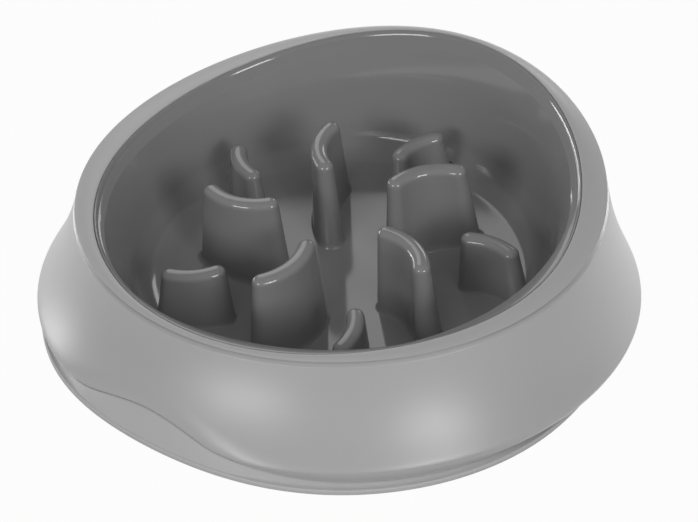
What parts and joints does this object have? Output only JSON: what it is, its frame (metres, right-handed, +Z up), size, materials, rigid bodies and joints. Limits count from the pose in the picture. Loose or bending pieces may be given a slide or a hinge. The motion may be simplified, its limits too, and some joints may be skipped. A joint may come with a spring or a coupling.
{
  "type": "slow feeder bowl",
  "caption": "Grey pet bowl with curved fins that slow eating, set in a flared stand with a sloping, twisting rim and a finger arch in its lower edge.",
  "frame": {"origin": "centre of the footprint, on the surface that the foot ring stands on", "axes": "+Z up, +Y toward the high side of the rim, -Y toward the low side with the finger arch, +X to the right seen from the low side"},
  "size_m": [0.2484, 0.2464, 0.0775],
  "materials": {
    "stand_plastic": "satin",
    "bowl_plastic": "glossy",
    "foot_rubber": "matt"
  },
  "bodies": {
    "stand": {"outer_shell": "stand_plastic", "foot_ring": "foot_rubber"},
    "bowl": {"inner_bowl": "bowl_plastic", "tall_fin_1": "bowl_plastic", "tall_fin_2": "bowl_plastic", "tall_fin_3": "bowl_plastic", "tall_fin_4": "bowl_plastic", "tall_fin_5": "bowl_plastic", "short_fin_1": "bowl_plastic", "short_fin_2": "bowl_plastic", "short_fin_3": "bowl_plastic", "short_fin_4": "bowl_plastic", "short_fin_5": "bowl_plastic"}
  },
  "joints": [
    {"name": "bowl_lift", "type": "slide", "parent": "stand", "child": "bowl", "axis": [0, -0.108, 0.9942], "range_m": [0, 0.08]}
  ]
}
